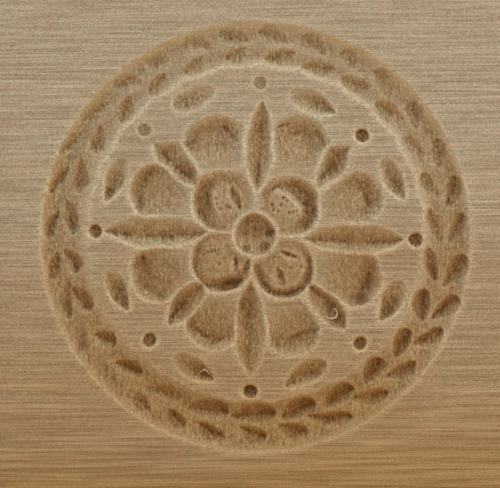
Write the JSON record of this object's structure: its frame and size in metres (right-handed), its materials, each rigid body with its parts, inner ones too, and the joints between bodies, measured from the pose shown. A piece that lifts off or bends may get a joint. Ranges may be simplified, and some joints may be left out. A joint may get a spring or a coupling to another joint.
{
  "type": "springerle mould",
  "caption": "Flat wooden springerle mould: a square board carved with a rosette inside a leaf wreath, for pressing a pattern into dough, with a hanging ring in its top edge.",
  "frame": {"origin": "middle of the board's flat back face", "axes": "+Z out of the carved face, +Y towards the top of the motif and the hanging ring, +X along the grain"},
  "size_m": [0.104, 0.1173, 0.022],
  "materials": {
    "carved_wood": "bare light hardwood, planed face with darker cut hollows",
    "aged_brass": "dulled brass wire"
  },
  "bodies": {
    "board": {"mould_board": "carved_wood", "screw_eye": "aged_brass"},
    "ring": {"hanging_ring": "aged_brass"}
  },
  "joints": [
    {"name": "ring_swing", "type": "hinge", "parent": "board", "child": "ring", "pos_m": [0, 0.0547, 0.011], "axis": [1, 0, 0], "range_deg": [-64, 145]}
  ]
}
